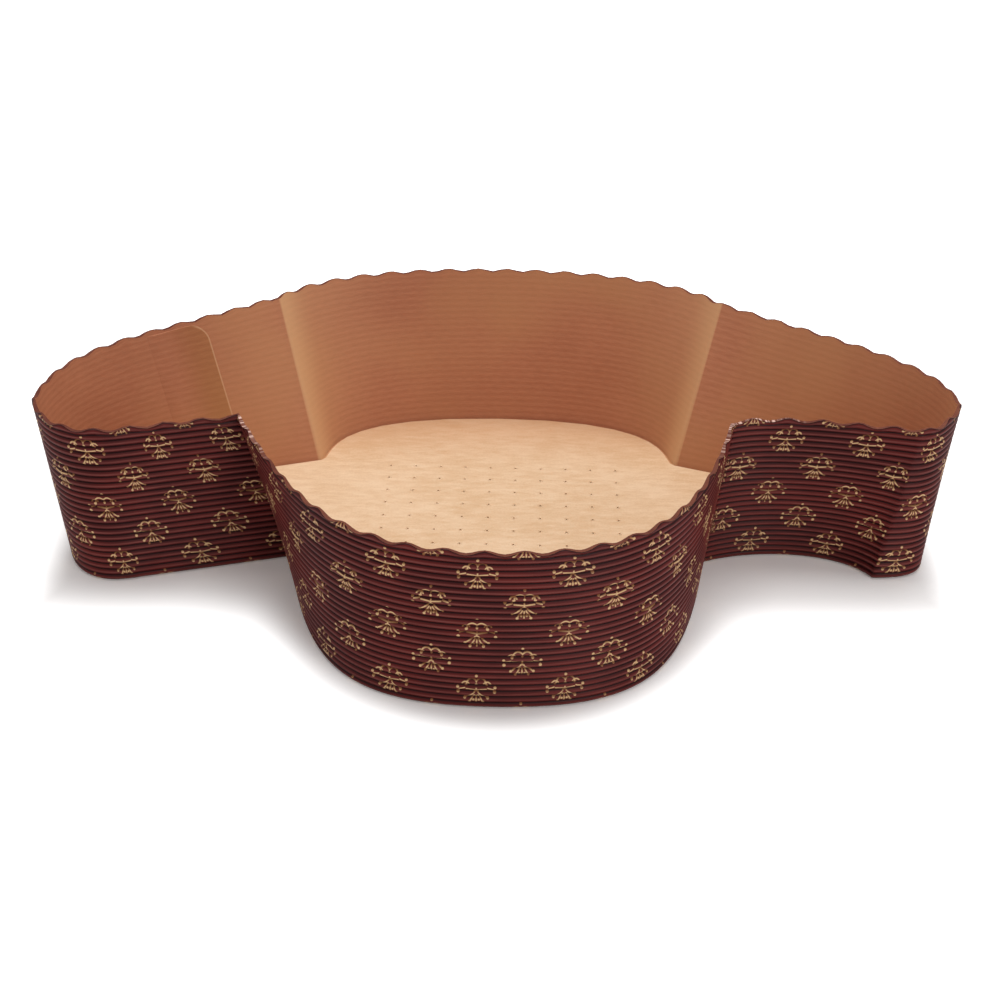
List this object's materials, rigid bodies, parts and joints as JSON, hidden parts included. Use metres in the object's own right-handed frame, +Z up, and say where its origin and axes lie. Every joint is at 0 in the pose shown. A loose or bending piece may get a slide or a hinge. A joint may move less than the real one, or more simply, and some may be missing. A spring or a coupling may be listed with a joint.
{
  "type": "paper colomba mold",
  "caption": "Disposable paper baking mold for a dove-shaped cake: flared ribbed wall, smooth inside, wavy rim and a flat vented base.",
  "frame": {"origin": "middle of the outer box on the ground plane, under the mold", "axes": "+X along the wing span to the wing with the creased tip, +Y from the front lobe to the wide rounded back, +Z up out of the open top"},
  "size_m": [0.2848, 0.1986, 0.0546],
  "materials": {
    "wall_strip": "printed outside, plain kraft inside, slight sheen",
    "base_sheet": "matte pale kraft, greaseproof"
  },
  "bodies": {
    "root": {"wall_strip": "wall_strip", "base_sheet": "base_sheet"}
  },
  "joints": []
}
